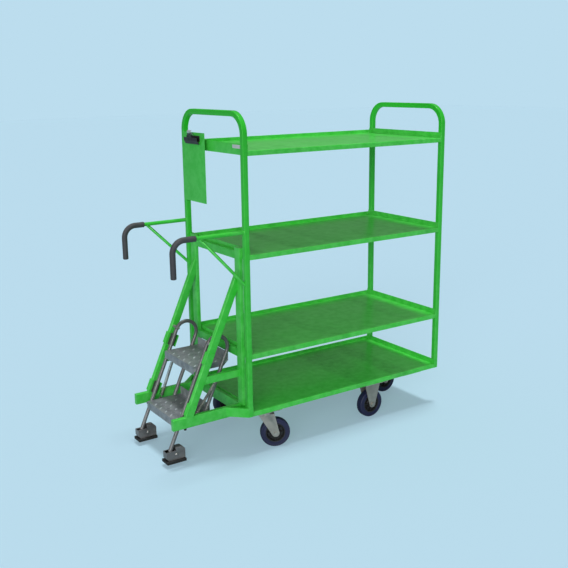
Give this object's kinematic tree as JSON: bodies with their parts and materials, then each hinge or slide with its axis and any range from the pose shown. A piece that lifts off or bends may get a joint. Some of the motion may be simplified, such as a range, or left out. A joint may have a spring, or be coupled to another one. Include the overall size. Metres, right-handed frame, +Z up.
{
  "type": "order picking trolley",
  "caption": "Steel order picking trolley with folded-edge trays between hoop end frames, push handles, a sprung step unit with rubber feet, a clipboard plate and rubber-tyred castors.",
  "frame": {"origin": "middle of the overall box at floor level, under the wheels", "axes": "+X from the step end towards the plain end, +Y across from the near side to the clipboard side, +Z up"},
  "size_m": [1.748, 0.6407, 1.764],
  "materials": {
    "green_paint": "gloss",
    "grey_paint": "satin",
    "tread_paint": "satin",
    "zinc": "satin",
    "black_plastic": "matte",
    "grip_rubber": "matte",
    "blue_tyre": "matte",
    "pad_rubber": "matte",
    "plain_label": "gloss"
  },
  "bodies": {
    "frame": {"end_frame_left": "green_paint", "end_frame_right": "green_paint", "shelf_bottom": "green_paint", "shelf_lower": "green_paint", "shelf_upper": "green_paint", "shelf_top": "green_paint", "shelf_stiffeners": "green_paint", "castor_bearers": "green_paint", "base_rails": "green_paint", "corner_ties": "green_paint", "rail_buffers": "black_plastic", "inner_posts": "green_paint", "struts": "green_paint", "side_braces": "green_paint", "slide_guides": "green_paint", "guide_liners": "black_plastic", "push_handles": "green_paint", "handle_braces": "green_paint", "grip_near": "grip_rubber", "grip_far": "grip_rubber", "clipboard_plate": "green_paint", "clip_base": "grey_paint", "clip_pin": "zinc", "clip_spring": "zinc", "blank_plate": "plain_label", "swivel_plates": "zinc", "fixed_bracket_near": "zinc", "fixed_bracket_far": "zinc", "fixed_axles": "zinc", "castor_bolts": "zinc", "frame_spring_pins": "zinc"},
    "step_unit": {"step_hoops": "grey_paint", "top_tread": "tread_paint", "lower_tread": "tread_paint", "stop_bolts": "zinc", "tread_spring_pins": "zinc", "foot_bolts": "zinc", "return_spring_near": "zinc", "return_spring_far": "zinc"},
    "foot_near": {"foot_bracket_near": "grey_paint", "foot_pad_near": "pad_rubber"},
    "foot_far": {"foot_bracket_far": "grey_paint", "foot_pad_far": "pad_rubber"},
    "clip_jaw": {"clip_jaw": "grey_paint"},
    "fork_near": {"fork_near": "zinc", "axle_near": "zinc"},
    "wheel_near": {"wheel_near": "black_plastic", "tyre_near": "blue_tyre"},
    "fork_far": {"fork_far": "zinc", "axle_far": "zinc"},
    "wheel_far": {"wheel_far": "black_plastic", "tyre_far": "blue_tyre"},
    "fork_rear": {"fork_rear": "zinc", "axle_rear": "zinc"},
    "wheel_rear": {"wheel_rear": "black_plastic", "tyre_rear": "blue_tyre"},
    "wheel_mid_near": {"wheel_mid_near": "black_plastic", "tyre_mid_near": "blue_tyre"},
    "wheel_mid_far": {"wheel_mid_far": "black_plastic", "tyre_mid_far": "blue_tyre"}
  },
  "joints": [
    {"name": "step_slide", "type": "slide", "parent": "frame", "child": "step_unit", "axis": [-0.4099, 0, -0.9121], "range_m": [0, 0.02193], "stiffness_N_per_m": 3600, "springref_m": -0.04, "deforming": ["return_spring_near", "return_spring_far"]},
    {"name": "foot_near_tilt", "type": "hinge", "parent": "step_unit", "child": "foot_near", "pos_m": [-0.816, -0.17, 0.062], "axis": [0, 1, 0], "range_deg": [-12, 12]},
    {"name": "foot_far_tilt", "type": "hinge", "parent": "step_unit", "child": "foot_far", "pos_m": [-0.816, 0.17, 0.062], "axis": [0, 1, 0], "range_deg": [-12, 12]},
    {"name": "clip_open", "type": "hinge", "parent": "frame", "child": "clip_jaw", "pos_m": [-0.469, 0.1805, 1.61], "axis": [0, 1, 0], "range_deg": [0, 18], "stiffness_Nm_per_rad": 0.6, "springref_deg": -28.65},
    {"name": "castor_near_swivel", "type": "hinge", "parent": "frame", "child": "fork_near", "pos_m": [-0.316, -0.255, 0.2], "axis": [0, 0, 1], "continuous": true},
    {"name": "wheel_near_spin", "type": "hinge", "parent": "fork_near", "child": "wheel_near", "pos_m": [-0.2725, -0.27529, 0.08], "axis": [0.4226, 0.9063, 0], "continuous": true},
    {"name": "castor_far_swivel", "type": "hinge", "parent": "frame", "child": "fork_far", "pos_m": [-0.316, 0.255, 0.2], "axis": [0, 0, 1], "continuous": true},
    {"name": "wheel_far_spin", "type": "hinge", "parent": "fork_far", "child": "wheel_far", "pos_m": [-0.268, 0.255, 0.08], "axis": [0, 1, 0], "continuous": true},
    {"name": "castor_rear_swivel", "type": "hinge", "parent": "frame", "child": "fork_rear", "pos_m": [0.671, 0, 0.2], "axis": [0, 0, 1], "continuous": true},
    {"name": "wheel_rear_spin", "type": "hinge", "parent": "fork_rear", "child": "wheel_rear", "pos_m": [0.719, 0, 0.08], "axis": [0, 1, 0], "continuous": true},
    {"name": "wheel_mid_near_spin", "type": "hinge", "parent": "frame", "child": "wheel_mid_near", "pos_m": [0.396, -0.255, 0.08], "axis": [0, 1, 0], "continuous": true},
    {"name": "wheel_mid_far_spin", "type": "hinge", "parent": "frame", "child": "wheel_mid_far", "pos_m": [0.396, 0.255, 0.08], "axis": [0, 1, 0], "continuous": true}
  ]
}
